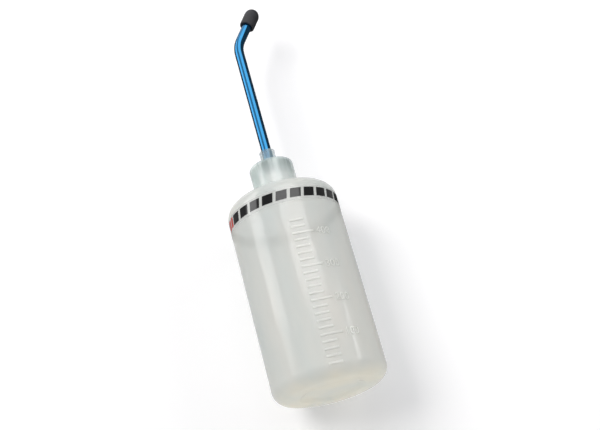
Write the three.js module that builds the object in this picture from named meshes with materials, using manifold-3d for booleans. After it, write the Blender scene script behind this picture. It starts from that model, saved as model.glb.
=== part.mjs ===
// Squeeze bottle for fuel: a round blow-moulded bottle with a raised volume scale, a screw cap
// that carries a bent aluminium spout, and a rubber cap that closes the spout's tip.
// Millimetres, +Z up. The origin is the middle of the base, on the surface the bottle stands on.
import * as THREE from 'three';
import { mergeVertices } from 'three/addons/utils/BufferGeometryUtils.js';
import Module from 'manifold-3d';

const wasm = await Module();
wasm.setup();

// Bottle body
const bodyRadius = 38;
const bodyWall = 0.9;
const baseCorner = 9.3;
const standRingWidth = 6;
const basePushUp = 2;
const pushUpSlopeWidth = 6;
const wallTop = 129.7;
const shoulderCorner = 8.7;
const shoulderSlope = THREE.MathUtils.degToRad(12.8);

// Neck and its screw thread, six turns to the inch
const neckRadius = 12.5;
const neckWall = 1.9;
const neckHeight = 19.2;
const neckFillet = 1.5;
const threadPitch = 25.4 / 6;
const threadTurns = 1.5;
const threadDepth = 1.2;
const threadRootWidth = 2;
const threadCrestWidth = 0.9;
const threadBelowRim = 2.1;
const threadEndShare = 0.2;

// Raised volume scale
const scaleStep = 20;
const scaleLongStep = 100;
const scaleTop = 440;
const scaleZeroHeight = 3.7;
const scaleStart = THREE.MathUtils.degToRad(-87);
const shortMarkSweep = THREE.MathUtils.degToRad(14);
const longMarkSweep = THREE.MathUtils.degToRad(21);
const markHeight = 0.3;
const markRootWidth = 1.3;
const markCrestWidth = 0.7;

// Printed film band round the top of the body
const bandBottom = 119.2;
const bandWidth = 10;
const bandThickness = 0.1;
const bandGap = 0.05;

// Screw cap, its collar and its sealing washer
const capWall = 1.35;
const capTopWall = 1.6;
const capCorner = 2.2;
const capAboveShoulder = 0.9;
const collarWall = 1.3;
const collarFlare = 0.4;
const collarHeight = 11.3;
const collarChamfer = 0.4;
const sealThickness = 1.2;

// Bent spout
const spoutRadius = 3.5;
const spoutWall = 0.8;
const spoutRise = 100.7;
const bendAngle = THREE.MathUtils.degToRad(33);
const bendRadius = 22;
const bendAzimuth = THREE.MathUtils.degToRad(20);
const spoutFreeEnd = 14;

// Rubber tip cap
const tipLength = 16.5;
const tipWall = 1.7;
const tipGrip = 9.7;
const tipDome = 6;
const tipRimRound = 0.6;

// Clearances and roundness
const clearance = 0.3;
const sinkIn = 0.4;
const roundSegments = 48;
const spoutSides = 16;
const arcSteps = 5;

// Sizes that follow from the ones above
const bandTop = bandBottom + bandWidth;
const shoulderArcEnd = Math.PI / 2 - shoulderSlope;
const neckBase = shoulderHeight(neckRadius);
const neckTop = neckBase + neckHeight;
const neckBore = neckRadius - neckWall;
const capBore = neckRadius + threadDepth + clearance;
const capRadius = capBore + capWall;
const capBottom = shoulderHeight(capBore) + capAboveShoulder;
const sealBottom = neckTop + clearance;
const capUnderside = sealBottom + sealThickness + clearance;
const capTop = capUnderside + capTopWall;
const collarBore = spoutRadius + clearance;
const collarRadius = collarBore + collarWall;
const collarTopRadius = collarRadius + collarFlare;
const collarTop = capTop + collarHeight;
const tipBore = spoutRadius + clearance;
const tipRadius = tipBore + tipWall;

// Height of the shoulder's outer slope, or of one set in from it, at a radius
function shoulderHeight(radius, inset = 0) {
  const arcRadius = shoulderCorner - inset;
  const slopeStartRadius = bodyRadius - shoulderCorner + arcRadius * Math.cos(shoulderArcEnd);
  const slopeStartHeight = wallTop + arcRadius * Math.sin(shoulderArcEnd);
  return slopeStartHeight + (slopeStartRadius - radius) * Math.tan(shoulderSlope);
}

// Points of an arc in the radius and height plane, both ends included
function arc(centreRadius, centreHeight, radius, from, to, steps = arcSteps) {
  const points = [];
  for (let i = 0; i <= steps; i += 1) {
    const angle = THREE.MathUtils.lerp(from, to, i / steps);
    points.push(new THREE.Vector2(
      centreRadius + radius * Math.cos(angle),
      centreHeight + radius * Math.sin(angle),
    ));
  }
  return points;
}

// Solid of revolution about +Z from points of radius and height
function turned(points, segments = roundSegments) {
  return new THREE.LatheGeometry(points, segments).rotateX(Math.PI / 2);
}

// Body outline from the middle of the base to the end of the shoulder's corner, set in by a wall
function bodyOutline(inset) {
  const ringOuter = bodyRadius - baseCorner;
  const ringInner = ringOuter - standRingWidth;
  return [
    new THREE.Vector2(0, basePushUp + inset),
    new THREE.Vector2(ringInner - pushUpSlopeWidth, basePushUp + inset),
    new THREE.Vector2(ringInner, inset),
    ...arc(ringOuter, baseCorner, baseCorner - inset, -Math.PI / 2, 0),
    ...arc(bodyRadius - shoulderCorner, wallTop, shoulderCorner - inset, 0, shoulderArcEnd),
  ];
}

// Closed ridge round the Z axis: a screw thread when it has a pitch, a scale mark when it has none
function ridge({ root, crest, rootWidth, crestWidth, from, sweep, height, pitch, steps, runOut }) {
  const positions = [];
  for (let i = 0; i <= steps; i += 1) {
    const angle = from + (sweep * i) / steps;
    const level = height + (pitch * sweep * i) / steps / (2 * Math.PI);
    const isEnd = i === 0 || i === steps;
    const top = isEnd && runOut ? THREE.MathUtils.lerp(root, crest, threadEndShare) : crest;
    const corners = [
      [root, level - rootWidth / 2],
      [top, level - crestWidth / 2],
      [top, level + crestWidth / 2],
      [root, level + rootWidth / 2],
    ];
    if (crest < root) corners.reverse();
    for (const [radius, z] of corners) {
      positions.push(radius * Math.cos(angle), radius * Math.sin(angle), z);
    }
  }
  const index = [0, 1, 2, 0, 2, 3];
  for (let i = 0; i < steps; i += 1) {
    for (let j = 0; j < 4; j += 1) {
      const here = i * 4 + j;
      const beside = i * 4 + ((j + 1) % 4);
      index.push(here, here + 4, beside, beside, here + 4, beside + 4);
    }
  }
  const last = steps * 4;
  index.push(last, last + 2, last + 1, last, last + 3, last + 2);
  const geometry = new THREE.BufferGeometry();
  geometry.setAttribute('position', new THREE.Float32BufferAttribute(positions, 3));
  geometry.setIndex(index);
  return geometry;
}

// Closed geometry to a solid that can be joined, without the slivers on a lathe's axis
function solidOf(geometry) {
  const bare = geometry.clone();
  bare.deleteAttribute('normal');
  bare.deleteAttribute('uv');
  const merged = mergeVertices(bare, 1e-4);
  const triangles = [];
  for (let i = 0; i < merged.index.count; i += 3) {
    const [a, b, c] = merged.index.array.slice(i, i + 3);
    if (a !== b && b !== c && c !== a) triangles.push(a, b, c);
  }
  return new wasm.Manifold(new wasm.Mesh({
    numProp: 3,
    vertProperties: new Float32Array(merged.attributes.position.array),
    triVerts: new Uint32Array(triangles),
  }));
}

function geometryOf(solid) {
  const mesh = solid.getMesh();
  const geometry = new THREE.BufferGeometry();
  geometry.setAttribute('position', new THREE.Float32BufferAttribute(mesh.vertProperties, 3));
  geometry.setIndex([...mesh.triVerts]);
  geometry.computeVertexNormals();
  return geometry;
}

// One body joined from a main form and the ridges that stand on it
function joined(main, ridges) {
  return geometryOf(ridges.reduce((solid, extra) => solid.add(solidOf(extra)), solidOf(main)));
}

// The cap's thread lies under the neck's thread, its upper flank near the neck's lower flank
const flankTaper = (threadRootWidth - threadCrestWidth) / (2 * threadDepth);
const threadWidthsAtOneRadius = threadRootWidth - flankTaper * (threadDepth + clearance);
const capThreadDrop = threadWidthsAtOneRadius + clearance;
const threadStartHeight = neckTop - threadBelowRim - threadTurns * threadPitch;

function screwThread(rootRadius, crestRadius, height) {
  const inward = Math.sign(crestRadius - rootRadius);
  const sunkRoot = rootRadius - inward * sinkIn;
  return ridge({
    root: sunkRoot,
    crest: crestRadius,
    rootWidth: threadRootWidth + 2 * flankTaper * sinkIn,
    crestWidth: threadCrestWidth,
    from: 0,
    sweep: threadTurns * 2 * Math.PI,
    height,
    pitch: threadPitch,
    steps: Math.round(threadTurns * roundSegments),
    runOut: true,
  });
}

function scaleMarks() {
  const boreArea = Math.PI * (bodyRadius - bodyWall) ** 2;
  const marks = [];
  for (let volume = scaleStep; volume <= scaleTop; volume += scaleStep) {
    const isLong = volume % scaleLongStep === 0;
    marks.push(ridge({
      root: bodyRadius - sinkIn,
      crest: bodyRadius + markHeight,
      rootWidth: markRootWidth,
      crestWidth: markCrestWidth,
      from: scaleStart,
      sweep: isLong ? longMarkSweep : shortMarkSweep,
      height: scaleZeroHeight + (volume * 1000) / boreArea,
      pitch: 0,
      steps: isLong ? 3 : 2,
      runOut: false,
    }));
  }
  return marks;
}

function bottleGeometry() {
  const filletCentreRadius = neckRadius + neckFillet;
  const filletCentreHeight = shoulderHeight(filletCentreRadius) + neckFillet / Math.cos(shoulderSlope);
  const shell = turned([
    ...bodyOutline(0),
    ...arc(filletCentreRadius, filletCentreHeight, neckFillet, 1.5 * Math.PI - shoulderSlope, Math.PI, 3),
    new THREE.Vector2(neckRadius, neckTop),
    new THREE.Vector2(neckBore, neckTop),
    new THREE.Vector2(neckBore, shoulderHeight(neckBore, bodyWall)),
    ...bodyOutline(bodyWall).reverse(),
  ]);
  const neckThread = screwThread(neckRadius, neckRadius + threadDepth, threadStartHeight);
  return joined(shell, [neckThread, ...scaleMarks()]);
}

function bandGeometry() {
  const inner = bodyRadius + bandGap;
  const outer = inner + bandThickness;
  return turned([
    new THREE.Vector2(inner, bandBottom),
    new THREE.Vector2(outer, bandBottom),
    new THREE.Vector2(outer, bandTop),
    new THREE.Vector2(inner, bandTop),
    new THREE.Vector2(inner, bandBottom),
  ]);
}

function capGeometry() {
  const shell = turned([
    new THREE.Vector2(capBore, capBottom),
    new THREE.Vector2(capRadius, capBottom),
    ...arc(capRadius - capCorner, capTop - capCorner, capCorner, 0, Math.PI / 2),
    new THREE.Vector2(collarRadius, capTop),
    new THREE.Vector2(collarTopRadius, collarTop - collarChamfer),
    new THREE.Vector2(collarTopRadius - collarChamfer, collarTop),
    new THREE.Vector2(collarBore, collarTop),
    new THREE.Vector2(collarBore, capUnderside),
    new THREE.Vector2(capBore, capUnderside),
    new THREE.Vector2(capBore, capBottom),
  ]);
  const capThread = screwThread(capBore, neckRadius + clearance, threadStartHeight - capThreadDrop);
  return joined(shell, [capThread]);
}

function sealGeometry() {
  const outer = capBore - clearance;
  const top = sealBottom + sealThickness;
  return turned([
    new THREE.Vector2(neckBore, sealBottom),
    new THREE.Vector2(outer, sealBottom),
    new THREE.Vector2(outer, top),
    new THREE.Vector2(neckBore, top),
    new THREE.Vector2(neckBore, sealBottom),
  ]);
}

// Centre line of the spout in its own XZ plane: straight up, round the bend, then straight again.
// The bend takes the middle half of the steps, so the straight stretches need few.
class SpoutLine extends THREE.Curve {
  getPoint(share, target = new THREE.Vector3()) {
    const bendStart = capTop + spoutRise - bendRadius * Math.tan(bendAngle / 2);
    if (share <= 0.25) {
      return target.set(0, 0, THREE.MathUtils.lerp(capUnderside, bendStart, share * 4));
    }
    const turnedBy = bendAngle * Math.min((share - 0.25) * 2, 1);
    const along = (spoutFreeEnd + tipGrip) * Math.max(share - 0.75, 0) * 4;
    return target.set(
      bendRadius * (1 - Math.cos(turnedBy)) + along * Math.sin(turnedBy),
      0,
      bendStart + bendRadius * Math.sin(turnedBy) + along * Math.cos(turnedBy),
    );
  }

  getPointAt(share, target) {
    return this.getPoint(share, target);
  }

  getTangentAt(share, target = new THREE.Vector3()) {
    const turnedBy = bendAngle * THREE.MathUtils.clamp((share - 0.25) * 2, 0, 1);
    return target.set(Math.sin(turnedBy), 0, Math.cos(turnedBy));
  }
}

function circlePath(radius) {
  const points = [];
  for (let i = 0; i < spoutSides; i += 1) {
    const angle = (2 * Math.PI * i) / spoutSides;
    points.push(new THREE.Vector2(radius * Math.cos(angle), radius * Math.sin(angle)));
  }
  return points;
}

function spoutGeometry() {
  const section = new THREE.Shape(circlePath(spoutRadius));
  section.holes.push(new THREE.Path(circlePath(spoutRadius - spoutWall)));
  return new THREE.ExtrudeGeometry(section, {
    extrudePath: new SpoutLine(),
    steps: 16,
    bevelEnabled: false,
  });
}

// Rubber cap with its rim at height 0 and its closed, domed end up
function tipGeometry() {
  const boreDepth = tipGrip + clearance;
  const dome = [];
  for (let i = 0; i <= arcSteps; i += 1) {
    const angle = ((Math.PI / 2) * i) / arcSteps;
    dome.push(new THREE.Vector2(
      i === arcSteps ? 0 : tipRadius * Math.cos(angle),
      tipLength - tipDome + tipDome * Math.sin(angle),
    ));
  }
  return turned([
    new THREE.Vector2(0, boreDepth),
    new THREE.Vector2(tipBore, boreDepth),
    new THREE.Vector2(tipBore, 0),
    ...arc(tipRadius - tipRimRound, tipRimRound, tipRimRound, -Math.PI / 2, 0, 2),
    ...dome,
  ], spoutSides * 2);
}

function piece(name, geometry, color, roughness, metalness = 0) {
  const material = new THREE.MeshStandardMaterial({ color, roughness, metalness });
  const mesh = new THREE.Mesh(geometry, material);
  mesh.name = name;
  return mesh;
}

const fuelBottle = new THREE.Group();
fuelBottle.add(piece('bottle', bottleGeometry(), 0xd6d8d2, 0.4));
fuelBottle.add(piece('print_band', bandGeometry(), 0xe4e6e2, 0.3));
fuelBottle.add(piece('seal_washer', sealGeometry(), 0xf0f0ea, 0.8));
fuelBottle.add(piece('cap', capGeometry(), 0xcdd4cf, 0.4));

const spout = new THREE.Group();
spout.rotation.z = bendAzimuth;
spout.add(piece('spout_tube', spoutGeometry(), 0x0f62a8, 0.25, 0.9));

const tipCap = piece('tip_cap', tipGeometry(), 0x2b2b2d, 0.7);
const tipSeat = new SpoutLine().getPoint(1);
const spoutEnd = new SpoutLine().getTangentAt(1);
tipCap.position.copy(tipSeat.addScaledVector(spoutEnd, -tipGrip));
tipCap.rotation.y = bendAngle;
spout.add(tipCap);
fuelBottle.add(spout);

export default fuelBottle;
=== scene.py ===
# Dresses the fuel bottle: smooth translucent plastic, blue anodised spout, rubber tip, printed band.
import math

import bmesh
import bpy
from mathutils import Matrix, Vector


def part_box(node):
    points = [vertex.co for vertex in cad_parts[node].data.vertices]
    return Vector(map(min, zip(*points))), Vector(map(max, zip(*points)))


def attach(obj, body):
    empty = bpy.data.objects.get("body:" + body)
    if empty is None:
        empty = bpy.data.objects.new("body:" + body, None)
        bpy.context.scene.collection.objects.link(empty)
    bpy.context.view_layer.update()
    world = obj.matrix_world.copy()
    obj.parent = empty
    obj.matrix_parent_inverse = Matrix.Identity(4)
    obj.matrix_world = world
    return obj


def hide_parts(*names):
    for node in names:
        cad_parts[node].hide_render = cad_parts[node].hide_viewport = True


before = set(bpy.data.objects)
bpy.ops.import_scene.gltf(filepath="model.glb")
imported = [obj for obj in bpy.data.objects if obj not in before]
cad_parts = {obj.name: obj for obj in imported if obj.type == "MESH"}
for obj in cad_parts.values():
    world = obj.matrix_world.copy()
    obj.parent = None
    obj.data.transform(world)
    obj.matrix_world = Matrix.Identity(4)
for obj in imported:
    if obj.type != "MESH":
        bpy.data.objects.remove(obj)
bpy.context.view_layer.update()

MM = 0.001
CLEARANCE = 0.3 * MM

# Camera as in the photograph: below the base, looking up, the bottle's top leaning left
CAMERA_PLACE = (0.0, -653.1 * MM, -154.1 * MM)
CAMERA_YAW = 0.016
CAMERA_PITCH = 0.402
CAMERA_ROLL = -0.276
IMAGE_WIDTH_PX = 600
FOCAL_LENGTH_PX = 1043.3

# Sizes of the bottle and its cap, from the frame where it has them
bottle_low, bottle_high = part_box("bottle")
cap_low, cap_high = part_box("cap")
band_low, band_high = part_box("print_band")
BODY_RADIUS = bottle_high[0]
NECK_TOP = bottle_high[2]
COLLAR_TOP = cap_high[2]
CAP_RADIUS = cap_high[0]
CAP_BOTTOM = cap_low[2]
WALL = 0.9 * MM
BASE_CORNER = 9.3 * MM
STAND_RING = 6 * MM
PUSH_UP = 2 * MM
PUSH_UP_SLOPE = 6 * MM
PUSH_UP_MARGIN = 1.5 * MM
WALL_TOP = 129.7 * MM
SHOULDER_CORNER = 8.7 * MM
SHOULDER_SLOPE = math.radians(12.8)
NECK_RADIUS = 12.5 * MM
NECK_BORE = 10.6 * MM
NECK_FILLET = 1.5 * MM
CAP_BORE = 14.0 * MM
CAP_TOP = COLLAR_TOP - 11.3 * MM
CAP_UNDERSIDE = CAP_TOP - 1.6 * MM
CAP_CORNER = 2.2 * MM
COLLAR_RADIUS = 5.1 * MM
COLLAR_TOP_RADIUS = 5.5 * MM
COLLAR_BORE = 3.8 * MM
COLLAR_ROUND = 0.4 * MM

# Screw thread
THREAD_PITCH = 25.4 / 6 * MM
THREAD_TURNS = 1.5
THREAD_DEPTH = 1.2 * MM
THREAD_ROOT = 2.0 * MM
THREAD_CREST = 0.9 * MM
THREAD_BELOW_RIM = 2.1 * MM
THREAD_DROP = 1.61 * MM
THREAD_SINK = 0.3 * MM
THREAD_START = NECK_TOP - THREAD_BELOW_RIM - THREAD_TURNS * THREAD_PITCH

# Raised volume scale
SCALE_ZERO = 3.7 * MM
SCALE_STEP_ML = 20
SCALE_LONG_STEP_ML = 100
SCALE_TOP_ML = 440
SCALE_START = math.radians(-87)
SHORT_MARK = math.radians(14)
LONG_MARK = math.radians(21)
MARK_HEIGHT = 0.28 * MM
MARK_SINK = 0.15 * MM
MARK_ROOT_WIDTH = 2.0 * MM
MARK_CREST_WIDTH = 1.2 * MM
DIGIT_HEIGHT = 5.0 * MM
DIGIT_GAP = math.radians(2.5)
FONT_SIZE_TO_DIGIT = 1.4

# Spout and its rubber cap
SPOUT_RADIUS = 3.5 * MM
SPOUT_WALL = 0.8 * MM
SPOUT_RISE = 100.7 * MM
BEND_ANGLE = math.radians(33)
BEND_RADIUS = 22 * MM
BEND_AZIMUTH = math.radians(20)
SPOUT_FREE_END = 14 * MM
TIP_GRIP = 9.7 * MM
TIP_LENGTH = 16.46 * MM
TIP_RADIUS = 5.5 * MM
TIP_BORE = 3.8 * MM
TIP_DOME = 6 * MM
TIP_RIM_ROUND = 0.6 * MM

# How finely the meshes are cut, and what counts as sharp or as on the axis
SEGMENTS = 144
RIDGE_STEP = 0.05
SHARP_ANGLE = math.radians(30)
ON_AXIS = 1e-7


def arc(centre_radius, centre_height, radius, start, end, steps=10):
    """Outline points of an arc, angles in degrees, both ends included."""
    points = []
    for i in range(steps + 1):
        angle = math.radians(start + (end - start) * i / steps)
        points.append((centre_radius + radius * math.cos(angle), centre_height + radius * math.sin(angle)))
    return points


def add_turned(bm, outline, closed=False, segments=SEGMENTS):
    """Surface of revolution about Z. An outline either starts and ends on the axis or is closed."""
    rings = []
    for radius, height in outline:
        if radius < ON_AXIS:
            rings.append([bm.verts.new((0, 0, height))])
            continue
        ring = []
        for i in range(segments):
            angle = 2 * math.pi * i / segments
            ring.append(bm.verts.new((radius * math.cos(angle), radius * math.sin(angle), height)))
        rings.append(ring)
    pairs = list(zip(rings, rings[1:]))
    if closed:
        pairs.append((rings[-1], rings[0]))
    for lower, upper in pairs:
        for i in range(segments):
            j = (i + 1) % segments
            if len(lower) == 1:
                bm.faces.new((lower[0], upper[j], upper[i]))
            elif len(upper) == 1:
                bm.faces.new((lower[i], lower[j], upper[0]))
            else:
                bm.faces.new((lower[i], lower[j], upper[j], upper[i]))


def add_skin(bm, sections):
    """Closes the first and last section, each of four corners, and joins each section to the next."""
    bm.faces.new(sections[0])
    bm.faces.new(reversed(sections[-1]))
    for here, there in zip(sections, sections[1:]):
        for j in range(4):
            k = (j + 1) % 4
            bm.faces.new((here[j], there[j], there[k], here[k]))


def add_ridge(bm, root, crest, root_width, crest_width, start, sweep, height, pitch=0.0):
    """Closed ridge round the Z axis: a thread when it has a pitch, a scale mark when it has none."""
    steps = max(2, math.ceil(sweep / RIDGE_STEP))
    sections = []
    for i in range(steps + 1):
        angle = start + sweep * i / steps
        level = height + pitch * sweep * i / steps / (2 * math.pi)
        top = crest
        # A thread runs out over an eighth of its length at either end
        if pitch:
            fade = min(1.0, 8.0 * min(i, steps - i) / steps)
            top = root + (crest - root) * (0.2 + 0.8 * fade)
        corners = [
            (root, level - root_width / 2),
            (top, level - crest_width / 2),
            (top, level + crest_width / 2),
            (root, level + root_width / 2),
        ]
        if crest < root:
            corners.reverse()
        sections.append([bm.verts.new((r * math.cos(angle), r * math.sin(angle), z)) for r, z in corners])
    add_skin(bm, sections)


def finish_piece(name, bm, material, body, replaces=()):
    """Turns a bmesh into a smooth object that rides on a body."""
    bmesh.ops.recalc_face_normals(bm, faces=bm.faces)
    mesh = bpy.data.meshes.new(name)
    bm.to_mesh(mesh)
    bm.free()
    mesh.polygons.foreach_set("use_smooth", [True] * len(mesh.polygons))
    mesh.set_sharp_from_angle(angle=SHARP_ANGLE)
    mesh.materials.append(material)
    piece = bpy.data.objects.new(name, mesh)
    bpy.context.scene.collection.objects.link(piece)
    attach(piece, body)
    if replaces:
        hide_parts(*replaces)


# Materials
def new_tree(name):
    """A new material and its empty node tree."""
    material = bpy.data.materials.new(name)
    material.use_nodes = True
    tree = material.node_tree
    tree.nodes.clear()
    return material, tree


def add_node(tree, kind, **values):
    """A node with its inputs set by name, spaces written as underscores, or linked from a socket."""
    node = tree.nodes.new(kind)
    for key, value in values.items():
        if hasattr(node, key):
            setattr(node, key, value)
            continue
        socket = node.inputs[key.replace("_", " ")]
        if isinstance(value, bpy.types.NodeSocket):
            tree.links.new(value, socket)
        else:
            socket.default_value = value
    return node


def grey(value):
    """An opaque grey as red, green, blue and alpha."""
    return (value, value, value, 1.0)


def plastic_material(name, tint, cloud_tint, see_through, glow, clouds, grain, painted_light_and_shade, gloss=0.5):
    """Milky thin-walled plastic: part diffuse, part translucent, part clear, under a gloss.
    clouds: noise scale and how far it is drawn out along Z. grain: noise scale and depth.
    painted_light_and_shade: a colour that paints in light or shade, fading in from one height to another,
    and how much of it."""
    material, tree = new_tree(name)
    coordinates = add_node(tree, "ShaderNodeTexCoord").outputs["Object"]
    stretch = add_node(tree, "ShaderNodeMapping", Vector=coordinates)
    stretch.inputs["Scale"].default_value = (1.0, 1.0, 1.0 / clouds[1])
    patches = add_node(tree, "ShaderNodeTexNoise", Vector=stretch.outputs["Vector"],
                       Scale=clouds[0], Detail=4.0, Roughness=0.55)
    share = add_node(tree, "ShaderNodeMapRange", Value=patches.outputs["Fac"], From_Min=0.35, From_Max=0.65)
    clouded = add_node(tree, "ShaderNodeMix", data_type="RGBA", clamp_factor=True)
    tree.links.new(share.outputs["Result"], clouded.inputs["Factor"])
    clouded.inputs[6].default_value = tint
    clouded.inputs[7].default_value = cloud_tint
    # Painted light and shade: a colour mixed in between two heights, patchy where the clouds are
    painted_tint, fade_from, fade_to, amount = painted_light_and_shade
    place = add_node(tree, "ShaderNodeSeparateXYZ", Vector=coordinates)
    fade = add_node(tree, "ShaderNodeMapRange", Value=place.outputs["Z"],
                    From_Min=fade_from, From_Max=fade_to, To_Max=2 * amount)
    painted_amount = add_node(tree, "ShaderNodeMath", operation="MULTIPLY")
    tree.links.new(fade.outputs["Result"], painted_amount.inputs[0])
    tree.links.new(share.outputs["Result"], painted_amount.inputs[1])
    colour = add_node(tree, "ShaderNodeMix", data_type="RGBA", clamp_factor=True)
    tree.links.new(painted_amount.outputs[0], colour.inputs["Factor"])
    tree.links.new(clouded.outputs[2], colour.inputs[6])
    colour.inputs[7].default_value = painted_tint
    bumps = add_node(tree, "ShaderNodeTexNoise", Vector=coordinates, Scale=grain[0], Detail=3.0)
    bump = add_node(tree, "ShaderNodeBump", Strength=0.35, Distance=grain[1], Height=bumps.outputs["Fac"])
    surface = add_node(tree, "ShaderNodeBsdfPrincipled", Base_Color=colour.outputs[2], Roughness=0.12,
                       Specular_IOR_Level=gloss, Normal=bump.outputs["Normal"])
    through = add_node(tree, "ShaderNodeBsdfTranslucent", Color=colour.outputs[2])
    clear = add_node(tree, "ShaderNodeBsdfTransparent", Color=grey(0.97))
    milky = add_node(tree, "ShaderNodeMixShader", Fac=glow)
    tree.links.new(surface.outputs["BSDF"], milky.inputs[1])
    tree.links.new(through.outputs["BSDF"], milky.inputs[2])
    mixed = add_node(tree, "ShaderNodeMixShader", Fac=see_through)
    tree.links.new(milky.outputs["Shader"], mixed.inputs[1])
    tree.links.new(clear.outputs["BSDF"], mixed.inputs[2])
    output = add_node(tree, "ShaderNodeOutputMaterial")
    tree.links.new(mixed.outputs["Shader"], output.inputs["Surface"])
    return material


def anodised_material():
    """Blue anodised aluminium: coloured metal, faintly drawn along its length, under a clear layer."""
    material, tree = new_tree("blue_anodised")
    coordinates = add_node(tree, "ShaderNodeTexCoord").outputs["Object"]
    stretch = add_node(tree, "ShaderNodeMapping", Vector=coordinates)
    stretch.inputs["Scale"].default_value = (1.0, 1.0, 0.04)
    drawn = add_node(tree, "ShaderNodeTexNoise", Vector=stretch.outputs["Vector"],
                     Scale=900.0, Detail=2.0)
    roughness = add_node(tree, "ShaderNodeMapRange", Value=drawn.outputs["Fac"],
                         From_Min=0.3, From_Max=0.7, To_Min=0.07, To_Max=0.11)
    colour = add_node(tree, "ShaderNodeMix", data_type="RGBA")
    tree.links.new(drawn.outputs["Fac"], colour.inputs["Factor"])
    colour.inputs[6].default_value = (0.006, 0.31, 0.70, 1.0)
    colour.inputs[7].default_value = (0.014, 0.36, 0.78, 1.0)
    bump = add_node(tree, "ShaderNodeBump", Strength=0.06, Distance=0.01 * MM,
                    Height=drawn.outputs["Fac"])
    surface = add_node(tree, "ShaderNodeBsdfPrincipled", Base_Color=colour.outputs[2], Metallic=1.0,
                       Coat_Weight=1.0, Coat_Roughness=0.05, Coat_IOR=1.65,
                       Roughness=roughness.outputs["Result"], Normal=bump.outputs["Normal"])
    output = add_node(tree, "ShaderNodeOutputMaterial")
    tree.links.new(surface.outputs["BSDF"], output.inputs["Surface"])
    return material


def rubber_material():
    """Matt black rubber, a little dusty."""
    material, tree = new_tree("black_rubber")
    coordinates = add_node(tree, "ShaderNodeTexCoord").outputs["Object"]
    dust = add_node(tree, "ShaderNodeTexNoise", Vector=coordinates, Scale=350.0, Detail=5.0)
    colour = add_node(tree, "ShaderNodeMix", data_type="RGBA")
    tree.links.new(dust.outputs["Fac"], colour.inputs["Factor"])
    colour.inputs[6].default_value = (0.018, 0.018, 0.021, 1.0)
    colour.inputs[7].default_value = (0.052, 0.052, 0.059, 1.0)
    roughness = add_node(tree, "ShaderNodeMapRange", Value=dust.outputs["Fac"],
                         From_Min=0.3, From_Max=0.7, To_Min=0.38, To_Max=0.52)
    bump = add_node(tree, "ShaderNodeBump", Strength=0.2, Distance=0.05 * MM,
                    Height=dust.outputs["Fac"])
    surface = add_node(tree, "ShaderNodeBsdfPrincipled", Base_Color=colour.outputs[2], IOR=1.4,
                       Roughness=roughness.outputs["Result"], Normal=bump.outputs["Normal"])
    output = add_node(tree, "ShaderNodeOutputMaterial")
    tree.links.new(surface.outputs["BSDF"], output.inputs["Surface"])
    return material


def foam_material():
    """Pale foam with small cells."""
    material, tree = new_tree("seal_foam")
    coordinates = add_node(tree, "ShaderNodeTexCoord").outputs["Object"]
    cells = add_node(tree, "ShaderNodeTexVoronoi", Vector=coordinates, Scale=2500.0)
    colour = add_node(tree, "ShaderNodeMix", data_type="RGBA")
    tree.links.new(cells.outputs["Distance"], colour.inputs["Factor"])
    colour.inputs[6].default_value = (0.80, 0.80, 0.77, 1.0)
    colour.inputs[7].default_value = (0.68, 0.68, 0.64, 1.0)
    bump = add_node(tree, "ShaderNodeBump", Strength=0.4, Distance=0.1 * MM,
                    Height=cells.outputs["Distance"])
    surface = add_node(tree, "ShaderNodeBsdfPrincipled", Base_Color=colour.outputs[2],
                       Roughness=0.85, Normal=bump.outputs["Normal"])
    output = add_node(tree, "ShaderNodeOutputMaterial")
    tree.links.new(surface.outputs["BSDF"], output.inputs["Surface"])
    return material


def film_material():
    """Clear glossy film with a faint haze."""
    material, tree = new_tree("clear_film")
    coordinates = add_node(tree, "ShaderNodeTexCoord").outputs["Object"]
    haze = add_node(tree, "ShaderNodeTexNoise", Vector=coordinates, Scale=180.0, Detail=3.0)
    colour = add_node(tree, "ShaderNodeMix", data_type="RGBA")
    tree.links.new(haze.outputs["Fac"], colour.inputs["Factor"])
    colour.inputs[6].default_value = (0.78, 0.79, 0.78, 1.0)
    colour.inputs[7].default_value = (0.86, 0.87, 0.86, 1.0)
    surface = add_node(tree, "ShaderNodeBsdfPrincipled", Base_Color=colour.outputs[2], Roughness=0.2,
                       Specular_IOR_Level=0.35)
    clear = add_node(tree, "ShaderNodeBsdfTransparent", Color=grey(0.99))
    mixed = add_node(tree, "ShaderNodeMixShader", Fac=0.7)
    tree.links.new(surface.outputs["BSDF"], mixed.inputs[1])
    tree.links.new(clear.outputs["BSDF"], mixed.inputs[2])
    output = add_node(tree, "ShaderNodeOutputMaterial")
    tree.links.new(mixed.outputs["Shader"], output.inputs["Surface"])
    return material


def ink_material(name, colour_low, colour_high):
    """Screen-printed ink, glossy, a shade thinner in places."""
    material, tree = new_tree(name)
    coordinates = add_node(tree, "ShaderNodeTexCoord").outputs["Object"]
    patches = add_node(tree, "ShaderNodeTexNoise", Vector=coordinates, Scale=300.0, Detail=4.0)
    colour = add_node(tree, "ShaderNodeMix", data_type="RGBA")
    tree.links.new(patches.outputs["Fac"], colour.inputs["Factor"])
    colour.inputs[6].default_value = colour_low
    colour.inputs[7].default_value = colour_high
    surface = add_node(tree, "ShaderNodeBsdfPrincipled", Base_Color=colour.outputs[2], Roughness=0.1,
                       Specular_IOR_Level=0.22)
    output = add_node(tree, "ShaderNodeOutputMaterial")
    tree.links.new(surface.outputs["BSDF"], output.inputs["Surface"])
    return material


# Bottle
def shoulder_height(radius, inset=0.0):
    """Height of the sloped shoulder at a radius. inset is 0 outside and the wall's thickness inside."""
    arc_radius = SHOULDER_CORNER - inset
    arc_end = math.pi / 2 - SHOULDER_SLOPE
    slope_radius = BODY_RADIUS - SHOULDER_CORNER + arc_radius * math.cos(arc_end)
    slope_height = WALL_TOP + arc_radius * math.sin(arc_end)
    return slope_height + (slope_radius - radius) * math.tan(SHOULDER_SLOPE)


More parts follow.
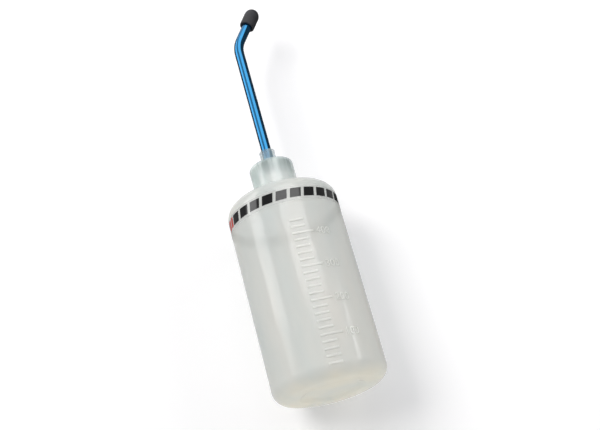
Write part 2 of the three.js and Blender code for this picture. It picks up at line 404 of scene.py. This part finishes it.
def body_outline(inset):
    """Outline from the middle of the base to the top of the shoulder's corner."""
    ring_outer = BODY_RADIUS - BASE_CORNER
    ring_inner = ring_outer - STAND_RING
    slope_end = 90 - math.degrees(SHOULDER_SLOPE)
    points = [(0.0, PUSH_UP + inset)]
    points += [(ring_inner - PUSH_UP_SLOPE - PUSH_UP_MARGIN, PUSH_UP + inset)]
    for i in range(9):
        share = i / 8
        ease = share * share * (3 - 2 * share)
        points.append((ring_inner - PUSH_UP_SLOPE * (1 - share), inset + PUSH_UP * (1 - ease)))
    points += arc(ring_outer, BASE_CORNER, BASE_CORNER - inset, -90, 0, 14)
    points += arc(BODY_RADIUS - SHOULDER_CORNER, WALL_TOP, SHOULDER_CORNER - inset, 0, slope_end, 14)
    return points


def make_bottle(material):
    """The hollow body, its shoulder and its threaded neck."""
    bm = bmesh.new()
    fillet_radius = NECK_RADIUS + NECK_FILLET
    fillet_height = shoulder_height(fillet_radius) + NECK_FILLET / math.cos(SHOULDER_SLOPE)
    rim_round = 0.35 * MM
    outline = body_outline(0.0)
    outline += arc(fillet_radius, fillet_height, NECK_FILLET, 270 - math.degrees(SHOULDER_SLOPE), 180, 6)
    outline += arc(NECK_RADIUS - rim_round, NECK_TOP - rim_round, rim_round, 0, 90, 4)
    outline += arc(NECK_BORE + rim_round, NECK_TOP - rim_round, rim_round, 90, 180, 4)
    outline.append((NECK_BORE, shoulder_height(NECK_BORE, WALL)))
    outline += list(reversed(body_outline(WALL)))
    add_turned(bm, outline)
    add_ridge(bm, NECK_RADIUS - THREAD_SINK, NECK_RADIUS + THREAD_DEPTH, THREAD_ROOT, THREAD_CREST,
              0.0, THREAD_TURNS * 2 * math.pi, THREAD_START, THREAD_PITCH)
    finish_piece("bottle_shell", bm, material, "vessel", ["bottle"])


# Raised scale
def mark_height_at(volume_ml):
    """Height of the mark for a volume, from the area of the bore."""
    bore_area = math.pi * ((BODY_RADIUS - WALL) / MM) ** 2
    return SCALE_ZERO + volume_ml * 1000 / bore_area * MM


def make_scale_marks(material):
    """Raised marks, each fifth one longer."""
    bm = bmesh.new()
    for volume in range(SCALE_STEP_ML, SCALE_TOP_ML + 1, SCALE_STEP_ML):
        sweep = SHORT_MARK if volume % SCALE_LONG_STEP_ML else LONG_MARK
        add_ridge(bm, BODY_RADIUS - MARK_SINK, BODY_RADIUS + MARK_HEIGHT, MARK_ROOT_WIDTH, MARK_CREST_WIDTH,
                  SCALE_START, sweep, mark_height_at(volume))
    finish_piece("scale_marks", bm, material, "vessel")


def text_mesh(words, height, depth):
    """The words as a solid mesh, flat, its lower left corner at the origin."""
    curve = bpy.data.curves.new("scale_text", "FONT")
    curve.body = words
    curve.size = height * FONT_SIZE_TO_DIGIT
    curve.extrude = depth / 2
    curve.resolution_u = 4
    text = bpy.data.objects.new("scale_text", curve)
    bpy.context.scene.collection.objects.link(text)
    bpy.context.view_layer.update()
    mesh = bpy.data.meshes.new_from_object(text.evaluated_get(bpy.context.evaluated_depsgraph_get()))
    bpy.data.objects.remove(text)
    return mesh


def make_scale_numbers(material):
    """Raised numbers beside the long marks, wrapped round the body."""
    bm = bmesh.new()
    start = SCALE_START + LONG_MARK + DIGIT_GAP
    for volume in range(SCALE_LONG_STEP_ML, SCALE_TOP_ML, SCALE_LONG_STEP_ML):
        mesh = text_mesh(str(volume), DIGIT_HEIGHT, 2 * MARK_HEIGHT)
        first = len(bm.verts)
        bm.from_mesh(mesh)
        bm.verts.ensure_lookup_table()
        for vert in bm.verts[first:]:
            angle = start + vert.co.x / BODY_RADIUS
            radius = BODY_RADIUS + vert.co.z
            height = mark_height_at(volume) - DIGIT_HEIGHT / 2 + vert.co.y
            vert.co = (radius * math.cos(angle), radius * math.sin(angle), height)
    finish_piece("scale_numbers", bm, material, "vessel")


# Cap and collar
def make_cap(material):
    """The skirt with its inner thread, and the flat top with the hole for the spout."""
    bm = bmesh.new()
    edge = 0.25 * MM
    outline = [(CAP_BORE, CAP_BOTTOM + edge), (CAP_BORE + edge, CAP_BOTTOM), (CAP_RADIUS - edge, CAP_BOTTOM)]
    outline += arc(CAP_RADIUS - edge, CAP_BOTTOM + edge, edge, -90, 0, 3)
    outline += arc(CAP_RADIUS - CAP_CORNER, CAP_TOP - CAP_CORNER, CAP_CORNER, 0, 90, 10)
    outline += [(COLLAR_BORE, CAP_TOP), (COLLAR_BORE, CAP_UNDERSIDE), (CAP_BORE, CAP_UNDERSIDE)]
    add_turned(bm, outline, closed=True)
    add_ridge(bm, CAP_BORE + THREAD_SINK, NECK_RADIUS + CLEARANCE, THREAD_ROOT, THREAD_CREST,
              0.0, THREAD_TURNS * 2 * math.pi, THREAD_START - THREAD_DROP, THREAD_PITCH)
    finish_piece("cap_shell", bm, material, "closure", ["cap"])


def make_collar(material):
    """The collar on the cap, flared a little to its rim and filleted into the cap's top."""
    bm = bmesh.new()
    fillet = 0.7 * MM
    foot = CAP_TOP - 0.05 * MM
    outline = [(COLLAR_BORE, foot)]
    outline += arc(COLLAR_RADIUS + fillet, foot + fillet, fillet, 270, 180, 5)
    outline += arc(COLLAR_TOP_RADIUS - COLLAR_ROUND, COLLAR_TOP - COLLAR_ROUND, COLLAR_ROUND, 0, 90, 4)
    outline += [(COLLAR_BORE, COLLAR_TOP)]
    add_turned(bm, outline, closed=True, segments=96)
    finish_piece("cap_collar", bm, material, "closure")


# Spout and its rubber cap
def spout_line(steps=20):
    """Centre line of the spout as (point, direction) in the plane of its bend."""
    bend_start = CAP_TOP + SPOUT_RISE - BEND_RADIUS * math.tan(BEND_ANGLE / 2)
    line = [(Vector((0, 0, CAP_UNDERSIDE)), Vector((0, 0, 1)))]
    for i in range(steps + 1):
        turned = BEND_ANGLE * i / steps
        aside = BEND_RADIUS * (1 - math.cos(turned))
        place = Vector((aside, 0, bend_start + BEND_RADIUS * math.sin(turned)))
        line.append((place, Vector((math.sin(turned), 0, math.cos(turned)))))
    place, direction = line[-1]
    line.append((place + direction * (SPOUT_FREE_END + TIP_GRIP), direction))
    return line


def make_spout(material):
    """The bent tube, open right through, with rounded lips."""
    bm = bmesh.new()
    lip = 0.2 * MM
    bore = SPOUT_RADIUS - SPOUT_WALL
    line = spout_line()
    first, last = line[0], line[-1]
    stations = [(first[0], first[1], SPOUT_RADIUS - lip)]
    stations += [(first[0] + first[1] * lip, first[1], SPOUT_RADIUS)]
    stations += [(place, way, SPOUT_RADIUS) for place, way in line[1:-1]]
    stations += [(last[0] - last[1] * lip, last[1], SPOUT_RADIUS), (last[0], last[1], SPOUT_RADIUS - lip)]
    stations += [(last[0], last[1], bore + lip), (last[0] - last[1] * lip, last[1], bore)]
    stations += [(place, way, bore) for place, way in reversed(line[1:-1])]
    stations += [(first[0] + first[1] * lip, first[1], bore), (first[0], first[1], bore + lip)]
    across = Vector((0, 1, 0))
    turn = Matrix.Rotation(BEND_AZIMUTH, 3, "Z")
    sides = 64
    rings = []
    for place, way, radius in stations:
        side = across.cross(way)
        ring = []
        for i in range(sides):
            angle = 2 * math.pi * i / sides
            offset = side * math.cos(angle) + across * math.sin(angle)
            ring.append(bm.verts.new(turn @ (place + offset * radius)))
        rings.append(ring)
    for here, there in zip(rings, rings[1:] + rings[:1]):
        for i in range(sides):
            j = (i + 1) % sides
            bm.faces.new((here[i], here[j], there[j], there[i]))
    finish_piece("spout", bm, material, "closure", ["spout_tube"])


def make_tip(material):
    """The rubber cap, bored to take the end of the spout."""
    bm = bmesh.new()
    bore_depth = TIP_GRIP + CLEARANCE
    outline = [(0.0, bore_depth), (TIP_BORE, bore_depth), (TIP_BORE, TIP_RIM_ROUND / 2)]
    outline += [(TIP_BORE + TIP_RIM_ROUND / 2, 0.0)]
    outline += arc(TIP_RADIUS - TIP_RIM_ROUND, TIP_RIM_ROUND, TIP_RIM_ROUND, -90, 0, 6)
    for i in range(13):
        angle = math.pi / 2 * i / 12
        radius = TIP_RADIUS * math.cos(angle) if i < 12 else 0.0
        outline.append((radius, TIP_LENGTH - TIP_DOME + TIP_DOME * math.sin(angle)))
    add_turned(bm, outline, segments=72)
    end, way = spout_line()[-1]
    place = Matrix.Rotation(BEND_AZIMUTH, 4, "Z") @ Matrix.Translation(end - way * TIP_GRIP)
    place = place @ Matrix.Rotation(BEND_ANGLE, 4, "Y")
    bmesh.ops.transform(bm, matrix=place, verts=bm.verts)
    finish_piece("tip_rubber", bm, material, "tip", ["tip_cap"])


# Printed band: a clear film with a plain broken stripe of slanted blocks
FILM_INNER = BODY_RADIUS + 0.03 * MM
FILM_OUTER = BODY_RADIUS + 0.10 * MM
INK_OUTER = BODY_RADIUS + 0.14 * MM
STRIPE_BOTTOM = 121.3 * MM
STRIPE_TOP = 127.8 * MM
STRIPE_SLANT = 1.6 * MM

# Blocks of the stripe, in degrees round the body
STRIPE_START = -171
RED_WIDTHS = (10, 5)
RED_GAP = 2
BLACK_COUNT = 10
BLACK_WIDTH = 11.2
BLACK_GAP = 3.2


def make_film(material):
    """The clear film, a thin ring round the body."""
    bm = bmesh.new()
    low, high = band_low[2], band_high[2]
    outline = [(FILM_INNER, low), (FILM_OUTER, low), (FILM_OUTER, high), (FILM_INNER, high)]
    add_turned(bm, outline, closed=True)
    finish_piece("band_film", bm, material, "vessel", ["print_band"])


def add_block(bm, start, width):
    """A block of ink on the film, its ends slanted. start and width are in degrees round the body."""
    lean = STRIPE_SLANT / BODY_RADIUS
    profile = [(FILM_OUTER, STRIPE_BOTTOM, 0.0), (INK_OUTER, STRIPE_BOTTOM, 0.0),
               (INK_OUTER, STRIPE_TOP, lean), (FILM_OUTER, STRIPE_TOP, lean)]
    steps = math.ceil(width / 2)
    columns = []
    for i in range(steps + 1):
        angle = math.radians(start + width * i / steps)
        column = []
        for radius, height, turned in profile:
            x = radius * math.cos(angle + turned)
            y = radius * math.sin(angle + turned)
            column.append(bm.verts.new((x, y, height)))
        columns.append(column)
    add_skin(bm, columns)


def make_stripe(black, red):
    """Two red blocks, then even black ones, once on the front and once on the back."""
    black_blocks = bmesh.new()
    red_blocks = bmesh.new()
    for side in range(2):
        start = STRIPE_START + 180 * side
        for width in RED_WIDTHS:
            add_block(red_blocks, start, width)
            start += width + RED_GAP
        for _ in range(BLACK_COUNT):
            add_block(black_blocks, start, BLACK_WIDTH)
            start += BLACK_WIDTH + BLACK_GAP
    finish_piece("stripe_black", black_blocks, black, "vessel")
    finish_piece("stripe_red", red_blocks, red, "vessel")


# Painted light and shade on the plastic: colour, height where each starts, height where it is full, and how
# much of it
# Painted warm light on the base: a warmer, slightly brighter cream, full at the bottom of the bottle
PAINTED_WARM_LIGHT_BASE = ((0.87, 0.845, 0.76, 1.0), 7 * MM, 1.5 * MM, 0.45)
# Painted shade: dark grey-green, full at the top of the cap and over the collar
PAINTED_SHADE_TOP = ((0.20, 0.30, 0.31, 1.0), CAP_BOTTOM + 8 * MM, CAP_TOP, 0.5)

# The pieces
natural_plastic = plastic_material(
    "natural_plastic", tint=(0.765, 0.800, 0.798, 1.0), cloud_tint=(0.852, 0.842, 0.815, 1.0),
    see_through=0.45, glow=0.42, clouds=(28.0, 3.0), grain=(120.0, 0.10 * MM), painted_light_and_shade=PAINTED_WARM_LIGHT_BASE)
# Scale marks and numbers: lighter and less see-through than the body, partly the thicker plastic of the
# ridges, partly painted highlight for the light edges of the marks
raised_plastic = plastic_material(
    "raised_plastic", tint=(0.835, 0.85, 0.84, 1.0), cloud_tint=(0.885, 0.885, 0.865, 1.0),
    see_through=0.15, glow=0.35, clouds=(28.0, 3.0), grain=(300.0, 0.05 * MM), painted_light_and_shade=PAINTED_WARM_LIGHT_BASE, gloss=0.42)
cap_plastic = plastic_material(
    "cap_plastic", tint=(0.875, 0.94, 0.93, 1.0), cloud_tint=(0.985, 0.995, 0.99, 1.0),
    see_through=0.42, glow=0.58, clouds=(170.0, 6.0), grain=(500.0, 0.12 * MM), painted_light_and_shade=PAINTED_SHADE_TOP, gloss=1.0)
collar_plastic = plastic_material(
    "collar_plastic", tint=(0.66, 0.82, 0.83, 1.0), cloud_tint=(0.97, 0.99, 0.99, 1.0),
    see_through=0.62, glow=0.42, clouds=(300.0, 3.0), grain=(500.0, 0.12 * MM), painted_light_and_shade=PAINTED_SHADE_TOP, gloss=1.0)
black_ink = ink_material("black_ink", (0.004, 0.004, 0.005, 1), (0.012, 0.012, 0.013, 1))
red_ink = ink_material("red_ink", (0.45, 0.02, 0.015, 1), (0.58, 0.035, 0.025, 1))
make_bottle(natural_plastic)
make_scale_marks(raised_plastic)
make_scale_numbers(raised_plastic)
make_cap(cap_plastic)
make_collar(collar_plastic)
make_spout(anodised_material())
make_tip(rubber_material())
make_film(film_material())
make_stripe(black_ink, red_ink)
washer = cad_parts["seal_washer"]
washer.material_slots[0].material = foam_material()


# Stage: a floor to stand on and a pale wall close behind, each seen from its front side only
def stage_material(name, white_lift):
    """Pale paper, lifted a little for the camera and clear from behind."""
    material, tree = new_tree(name)
    surface = add_node(tree, "ShaderNodeBsdfDiffuse", Color=(0.928, 0.93, 0.952, 1.0))
    rays = add_node(tree, "ShaderNodeLightPath")
    lift = add_node(tree, "ShaderNodeMath", operation="MULTIPLY")
    tree.links.new(rays.outputs["Is Camera Ray"], lift.inputs[0])
    lift.inputs[1].default_value = white_lift
    glow = add_node(tree, "ShaderNodeEmission", Strength=lift.outputs[0])
    lit = add_node(tree, "ShaderNodeAddShader")
    tree.links.new(surface.outputs["BSDF"], lit.inputs[0])
    tree.links.new(glow.outputs["Emission"], lit.inputs[1])
    clear = add_node(tree, "ShaderNodeBsdfTransparent")
    side = add_node(tree, "ShaderNodeNewGeometry")
    mixed = add_node(tree, "ShaderNodeMixShader", Fac=side.outputs["Backfacing"])
    tree.links.new(lit.outputs["Shader"], mixed.inputs[1])
    tree.links.new(clear.outputs["BSDF"], mixed.inputs[2])
    output = add_node(tree, "ShaderNodeOutputMaterial")
    tree.links.new(mixed.outputs["Shader"], output.inputs["Surface"])
    return material


def make_plane(name, corners, material):
    """A flat sheet that only the camera sees and that casts no shadow."""
    mesh = bpy.data.meshes.new(name)
    mesh.from_pydata(corners, [], [(0, 1, 2, 3)])
    mesh.materials.append(material)
    plane = bpy.data.objects.new(name, mesh)
    bpy.context.scene.collection.objects.link(plane)
    plane.visible_diffuse = False
    plane.visible_glossy = False
    plane.visible_transmission = False
    plane.visible_shadow = False


STAGE_REACH = 1.6
WALL_GAP = 0.4 * MM
FLOOR_LIFT = 0.30
WALL_LIFT = 0.17
wall_place = -bottle_low[1] + WALL_GAP
floor_corners = [(-STAGE_REACH, -STAGE_REACH, 0), (STAGE_REACH, -STAGE_REACH, 0),
                 (STAGE_REACH, STAGE_REACH, 0), (-STAGE_REACH, STAGE_REACH, 0)]
wall_corners = [(-STAGE_REACH, wall_place, -STAGE_REACH), (STAGE_REACH, wall_place, -STAGE_REACH),
                (STAGE_REACH, wall_place, STAGE_REACH), (-STAGE_REACH, wall_place, STAGE_REACH)]
make_plane("floor", floor_corners, stage_material("floor_white", FLOOR_LIFT))
make_plane("wall", wall_corners, stage_material("wall_white", WALL_LIFT))

# World: white for the camera, dimmer as ambient light and in reflections
AMBIENT = 0.31
REFLECTED = 0.55
world = bpy.data.worlds.new("studio")
bpy.context.scene.world = world
world.use_nodes = True
world.node_tree.nodes.clear()
rays = add_node(world.node_tree, "ShaderNodeLightPath")
links = world.node_tree.links
seen = add_node(world.node_tree, "ShaderNodeMath", operation="ADD", use_clamp=True)
links.new(rays.outputs["Is Camera Ray"], seen.inputs[0])
links.new(rays.outputs["Is Transmission Ray"], seen.inputs[1])
reflected = add_node(world.node_tree, "ShaderNodeMapRange", Value=rays.outputs["Is Glossy Ray"],
                     To_Min=AMBIENT, To_Max=REFLECTED)
strength = add_node(world.node_tree, "ShaderNodeMath", operation="MAXIMUM")
links.new(seen.outputs[0], strength.inputs[0])
links.new(reflected.outputs["Result"], strength.inputs[1])
backdrop = add_node(world.node_tree, "ShaderNodeBackground", Color=grey(1.0), Strength=strength.outputs[0])
world_output = add_node(world.node_tree, "ShaderNodeOutputWorld")
links.new(backdrop.outputs["Background"], world_output.inputs["Surface"])


# Lamps
def add_softbox(name, azimuth, elevation, distance, width, height, power, colour=(1, 1, 1)):
    """A lamp that faces the bottle, unseen in reflections. Azimuth 0 is in front, 90 to the right."""
    target = Vector((0, 0, 0.5 * WALL_TOP))
    turned = math.radians(azimuth)
    raised = math.radians(elevation)
    level = math.cos(raised)
    away = Vector((math.sin(turned) * level, -math.cos(turned) * level, math.sin(raised)))
    lamp = bpy.data.lights.new(name, "AREA")
    lamp.shape = "RECTANGLE"
    lamp.size = width
    lamp.size_y = height
    lamp.energy = power
    lamp.color = colour
    softbox = bpy.data.objects.new(name, lamp)
    softbox.location = target + away * distance
    softbox.rotation_euler = away.to_track_quat("Z", "Y").to_euler()
    bpy.context.scene.collection.objects.link(softbox)
    softbox.visible_glossy = False


add_softbox("key", -31, 22, 3.0, 1.5, 1.5, 46, (1.0, 0.975, 0.94))
add_softbox("fill", 60, 12, 3.0, 1.5, 1.5, 22)
add_softbox("bounce", 180, -72, 1.2, 0.6, 0.6, 8, (1.0, 0.93, 0.78))
add_softbox("overhead", -10, 55, 3.0, 3.0, 2.5, 33)


def add_card(name, start, end, distance, low, high, brightness):
    """A curved card that shows only in reflections. Azimuths are those of add_softbox."""
    material, tree = new_tree(name)
    glow = add_node(tree, "ShaderNodeEmission", Strength=brightness)
    output = add_node(tree, "ShaderNodeOutputMaterial")
    tree.links.new(glow.outputs["Emission"], output.inputs["Surface"])
    steps = math.ceil((end - start) / 10)
    corners = []
    for i in range(steps + 1):
        angle = math.radians(start + (end - start) * i / steps)
        for height in (low, high):
            corners.append((distance * math.sin(angle), -distance * math.cos(angle), height))
    faces = [(2 * i, 2 * i + 1, 2 * i + 3, 2 * i + 2) for i in range(steps)]
    mesh = bpy.data.meshes.new(name)
    mesh.from_pydata(corners, [], faces)
    mesh.materials.append(material)
    card = bpy.data.objects.new(name, mesh)
    bpy.context.scene.collection.objects.link(card)
    card.visible_camera = False
    card.visible_diffuse = False
    card.visible_transmission = False
    card.visible_shadow = False


# Windows that the body reflects: name, azimuth from and to, lower and upper edge in metres, brightness
WINDOW_DISTANCE = 1.0
WINDOWS = (
    ("window_left", -74, -48, 0.32, 1.6, 7.5),
    ("window_left_foot", -70, -54, 0.22, 0.32, 3.6),
    ("window_front", -6, 42, 0.36, 1.3, 7.5),
    ("window_front_foot", 0, 36, 0.27, 0.36, 3.0),
    ("window_right", 66, 74, 0.20, 0.30, 9.0),
    ("window_gap", 68, 72, 0.30, 0.38, 7.0),
    ("dark_corner", 130, 180, 0.1, 1.6, 0.08),
)

# Pale and dark flags close round the spout: name, azimuth from and to, brightness
FLAG_DISTANCE = 45 * MM
FLAG_LOW = 0.18
FLAG_HIGH = 0.36
FLAGS = (
    ("flag_pale_left", -86, -46, 1.25),
    ("flag_middle", -46, -4, 0.36),
    ("flag_pale_right", -4, 52, 1.1),
    ("flag_dark_right", 52, 160, 0.07),
    ("flag_back", 160, 200, 0.3),
    ("flag_dark_left", 200, 274, 0.07),
)
for name, start, end, low, high, brightness in WINDOWS:
    add_card(name, start, end, WINDOW_DISTANCE, low, high, brightness)
for name, start, end, brightness in FLAGS:
    add_card(name, start, end, FLAG_DISTANCE, FLAG_LOW, FLAG_HIGH, brightness)

# Camera
forward = Vector((math.sin(CAMERA_YAW) * math.cos(CAMERA_PITCH),
                  math.cos(CAMERA_YAW) * math.cos(CAMERA_PITCH), math.sin(CAMERA_PITCH)))
level_right = Vector((math.cos(CAMERA_YAW), -math.sin(CAMERA_YAW), 0))
level_up = level_right.cross(forward)
right = level_right * math.cos(CAMERA_ROLL) + level_up * math.sin(CAMERA_ROLL)
up = level_up * math.cos(CAMERA_ROLL) - level_right * math.sin(CAMERA_ROLL)
lens = bpy.data.cameras.new("camera")
lens.sensor_width = 36.0
lens.lens = lens.sensor_width * FOCAL_LENGTH_PX / IMAGE_WIDTH_PX
lens.clip_start = 0.01
camera = bpy.data.objects.new("camera", lens)
camera.matrix_world = Matrix.Translation(CAMERA_PLACE) @ Matrix((right, up, -forward)).transposed().to_4x4()
bpy.context.scene.collection.objects.link(camera)
bpy.context.scene.camera = camera
bpy.context.scene.view_settings.view_transform = "Standard"
